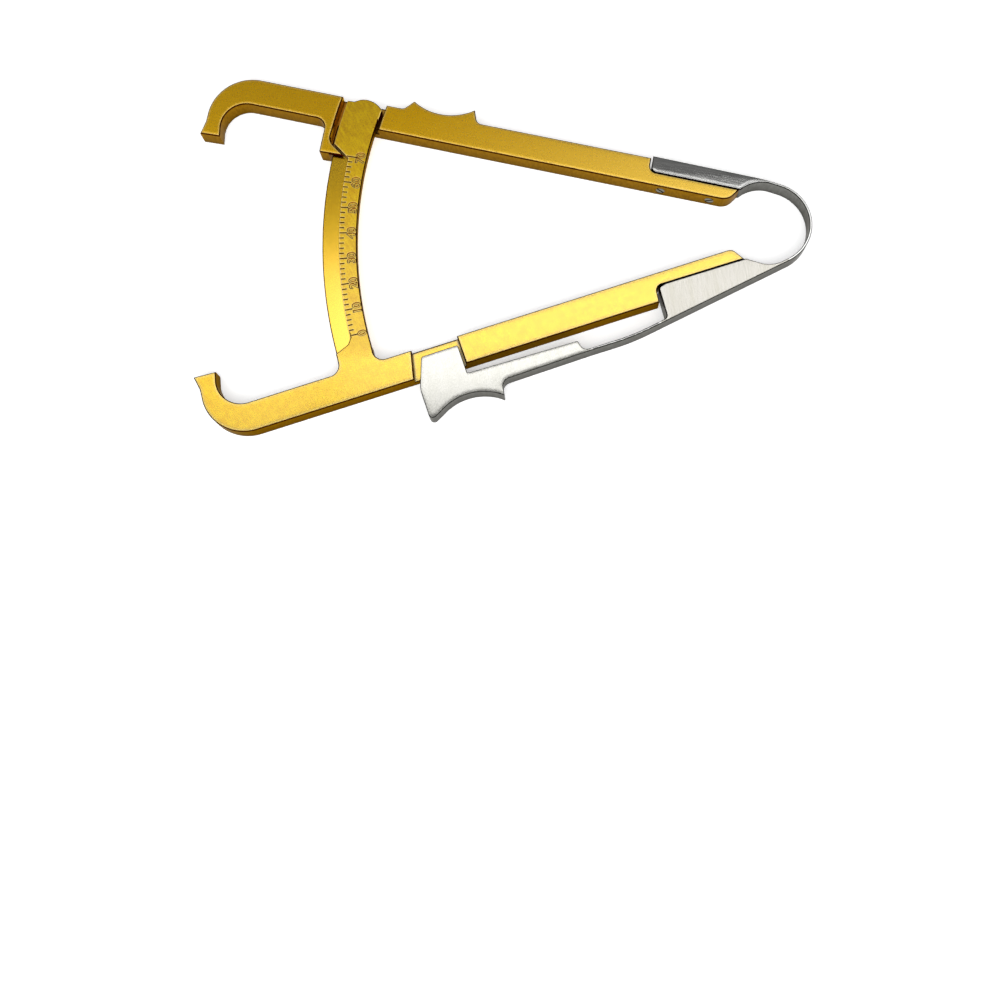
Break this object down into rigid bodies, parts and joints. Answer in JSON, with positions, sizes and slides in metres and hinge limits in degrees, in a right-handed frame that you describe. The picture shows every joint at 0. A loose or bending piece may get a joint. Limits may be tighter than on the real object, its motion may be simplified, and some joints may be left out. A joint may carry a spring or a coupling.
{
  "type": "skinfold caliper",
  "caption": "Hand caliper with two hooked jaws joined by a U spring, a curved millimetre scale between the arms and a pressure lever, for measuring a pinched fold.",
  "frame": {"origin": "centre of the bottom of the box around the caliper, on the plane of its back face", "axes": "+X along the caliper from the jaws to the U loop, +Y from the lower arm to the upper arm, +Z out of the face that carries the scale"},
  "size_m": [0.1696, 0.1028, 0.0055],
  "materials": {
    "gold_aluminium": "satin gold anodised",
    "spring_steel": "fine brushed",
    "screw_steel": "turned"
  },
  "bodies": {
    "lower_frame": {"lower_arm": "gold_aluminium", "lower_spring_tang": "spring_steel", "lower_arm_screws": "screw_steel", "spring_loop": "spring_steel", "lever_beam": "spring_steel"},
    "upper_frame": {"upper_arm": "gold_aluminium", "upper_spring_tang": "spring_steel", "upper_arm_screws": "screw_steel"},
    "lever": {"pressure_lever": "spring_steel"}
  },
  "joints": [
    {"name": "jaw_squeeze", "type": "hinge", "parent": "lower_frame", "child": "upper_frame", "pos_m": [0.07727, 0.00012, 0.00275], "axis": [0, 0, 1], "range_deg": [0, 24.79], "stiffness_Nm_per_rad": 1, "deforming": ["spring_loop"]},
    {"name": "lever_press", "type": "hinge", "parent": "lower_frame", "child": "lever", "pos_m": [0.03347, -0.02887, 0.00275], "axis": [0, 0, -1], "range_deg": [0, 2.2], "stiffness_Nm_per_rad": 1.5, "deforming": ["lever_beam"]}
  ]
}
